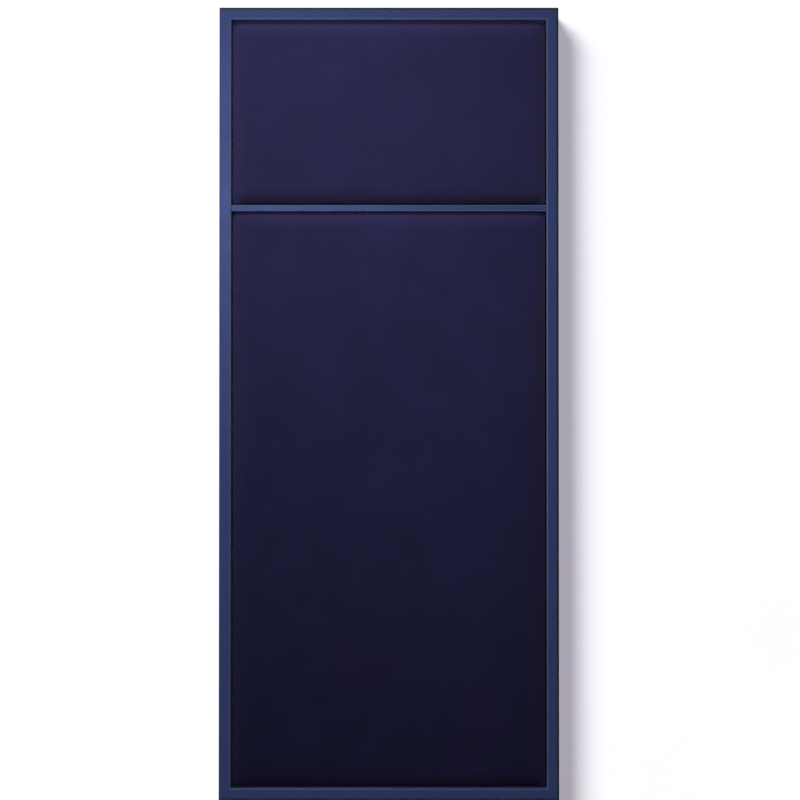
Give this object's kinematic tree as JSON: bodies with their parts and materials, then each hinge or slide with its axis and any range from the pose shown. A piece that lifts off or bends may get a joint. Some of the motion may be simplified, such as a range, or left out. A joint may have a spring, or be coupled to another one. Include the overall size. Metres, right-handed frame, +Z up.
{
  "type": "wall punch pad",
  "caption": "Upright wall board with two crowned cloth pads in a slim lacquered frame, split by a thin divider, hung on a hooked wall rail.",
  "frame": {"origin": "on the wall plane, midway between the two screw holes of the wall rail", "axes": "+Y into the wall, so the board faces -Y; +Z up along the board's height; +X to the right as a viewer sees the front"},
  "size_m": [0.27, 0.025, 0.63],
  "materials": {
    "frame_lacquer": "smooth satin blue lacquer over hardwood",
    "spline_lacquer": "hardwood key, trimmed flush and lacquered with the frame",
    "dowel_wood": "bare beech",
    "hardboard": "pressed hardboard, matt",
    "plywood": "birch plywood",
    "dense_foam": "closed-cell foam",
    "wadding": "soft polyester wadding",
    "cover_cloth": "matt dark navy upholstery cloth with a fine weave",
    "rail_aluminium": "mill-finish extrusion",
    "zinc_steel": "bright zinc",
    "button_brass": "stamped brass",
    "bumper_rubber": "matt black rubber"
  },
  "bodies": {
    "wall_mount": {"wall_rail": "rail_aluminium"},
    "board": {"left_stile": "frame_lacquer", "right_stile": "frame_lacquer", "top_rail": "frame_lacquer", "bottom_rail": "frame_lacquer", "corner_splines": "spline_lacquer", "divider_rail": "frame_lacquer", "divider_dowels": "dowel_wood", "back_panel": "hardboard", "board_rail": "rail_aluminium", "board_rail_screws": "zinc_steel", "wall_bumpers": "bumper_rubber", "upper_pad_board": "plywood", "upper_pad_foam": "dense_foam", "upper_pad_wadding": "wadding", "upper_pad_cover": "cover_cloth", "upper_pad_staples": "zinc_steel", "lower_pad_board": "plywood", "lower_pad_foam": "dense_foam", "lower_pad_wadding": "wadding", "lower_pad_cover": "cover_cloth", "lower_pad_staples": "zinc_steel", "pad_screws": "zinc_steel", "turn_button_screws": "zinc_steel", "turn_button_washers": "zinc_steel"},
    "button_upper_left": {"turn_button_upper_left": "button_brass"},
    "button_upper_right": {"turn_button_upper_right": "button_brass"},
    "button_middle_left": {"turn_button_middle_left": "button_brass"},
    "button_middle_right": {"turn_button_middle_right": "button_brass"},
    "button_lower_left": {"turn_button_lower_left": "button_brass"},
    "button_lower_right": {"turn_button_lower_right": "button_brass"}
  },
  "joints": [
    {"name": "lift_off", "type": "slide", "parent": "wall_mount", "child": "board", "axis": [0, 0, 1], "range_m": [0, 0.012]},
    {"name": "turn_upper_left", "type": "hinge", "parent": "board", "child": "button_upper_left", "pos_m": [-0.1174, -0.005, -0.02335], "axis": [0, -1, 0], "range_deg": [0, 90]},
    {"name": "turn_upper_right", "type": "hinge", "parent": "board", "child": "button_upper_right", "pos_m": [0.1174, -0.005, -0.02335], "axis": [0, 1, 0], "range_deg": [0, 90]},
    {"name": "turn_middle_left", "type": "hinge", "parent": "board", "child": "button_middle_left", "pos_m": [-0.1174, -0.005, -0.2224], "axis": [0, -1, 0], "range_deg": [0, 90]},
    {"name": "turn_middle_right", "type": "hinge", "parent": "board", "child": "button_middle_right", "pos_m": [0.1174, -0.005, -0.2224], "axis": [0, 1, 0], "range_deg": [0, 90]},
    {"name": "turn_lower_left", "type": "hinge", "parent": "board", "child": "button_lower_left", "pos_m": [-0.1174, -0.005, -0.495], "axis": [0, -1, 0], "range_deg": [0, 90]},
    {"name": "turn_lower_right", "type": "hinge", "parent": "board", "child": "button_lower_right", "pos_m": [0.1174, -0.005, -0.495], "axis": [0, 1, 0], "range_deg": [0, 90]}
  ]
}
